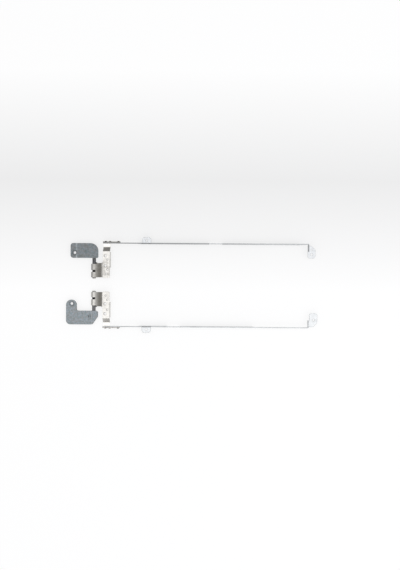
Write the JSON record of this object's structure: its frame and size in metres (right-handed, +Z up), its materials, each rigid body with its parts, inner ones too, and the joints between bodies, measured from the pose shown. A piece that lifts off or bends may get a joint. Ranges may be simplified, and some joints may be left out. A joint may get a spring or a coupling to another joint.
{
  "type": "pair of laptop hinges",
  "caption": "Pair of laptop lid hinges: a dark base plate on a shaft, a slotted friction curl with a leaf, and a long thin screen rail with an ear and a far foot.",
  "frame": {"origin": "middle of the pair's box, on the table", "axes": "+X from the base plates to the far feet, +Y across the pair to the right hinge, +Z up"},
  "size_m": [0.2484, 0.094, 0.0079],
  "materials": {
    "nickel_plated_steel": "nickel plated, satin",
    "zinc_plated_steel": "zinc plated, bright",
    "phosphated_steel": "dark grey phosphate, matt, mottled",
    "black_oxide_steel": "black oxide, greased",
    "rail_rivet_steel": "dark steel, formed",
    "base_rivet_steel": "grey phosphate, formed"
  },
  "bodies": {
    "lid_arms": {"right_lid_bracket": "nickel_plated_steel", "right_screen_rail": "zinc_plated_steel", "right_rail_rivet_1": "rail_rivet_steel", "right_rail_rivet_2": "rail_rivet_steel", "right_rail_rivet_3": "rail_rivet_steel", "left_lid_bracket": "nickel_plated_steel", "left_screen_rail": "zinc_plated_steel", "left_rail_rivet_1": "rail_rivet_steel", "left_rail_rivet_2": "rail_rivet_steel", "left_rail_rivet_3": "rail_rivet_steel"},
    "right_base": {"right_base_plate": "phosphated_steel", "right_shaft": "black_oxide_steel", "right_stop_pin": "black_oxide_steel", "right_base_rivet_1": "base_rivet_steel", "right_base_rivet_2": "base_rivet_steel"},
    "left_base": {"left_base_plate": "phosphated_steel", "left_shaft": "black_oxide_steel", "left_stop_pin": "black_oxide_steel", "left_base_rivet_1": "base_rivet_steel", "left_base_rivet_2": "base_rivet_steel"}
  },
  "joints": [
    {"name": "right_hinge", "type": "hinge", "parent": "lid_arms", "child": "right_base", "pos_m": [-0.09695, 0.014, 0.0028], "axis": [0, -1, 0], "range_deg": [0, 180]},
    {"name": "left_hinge", "type": "hinge", "parent": "lid_arms", "child": "left_base", "pos_m": [-0.09695, -0.014, 0.0028], "axis": [0, -1, 0], "range_deg": [0, 180]}
  ]
}
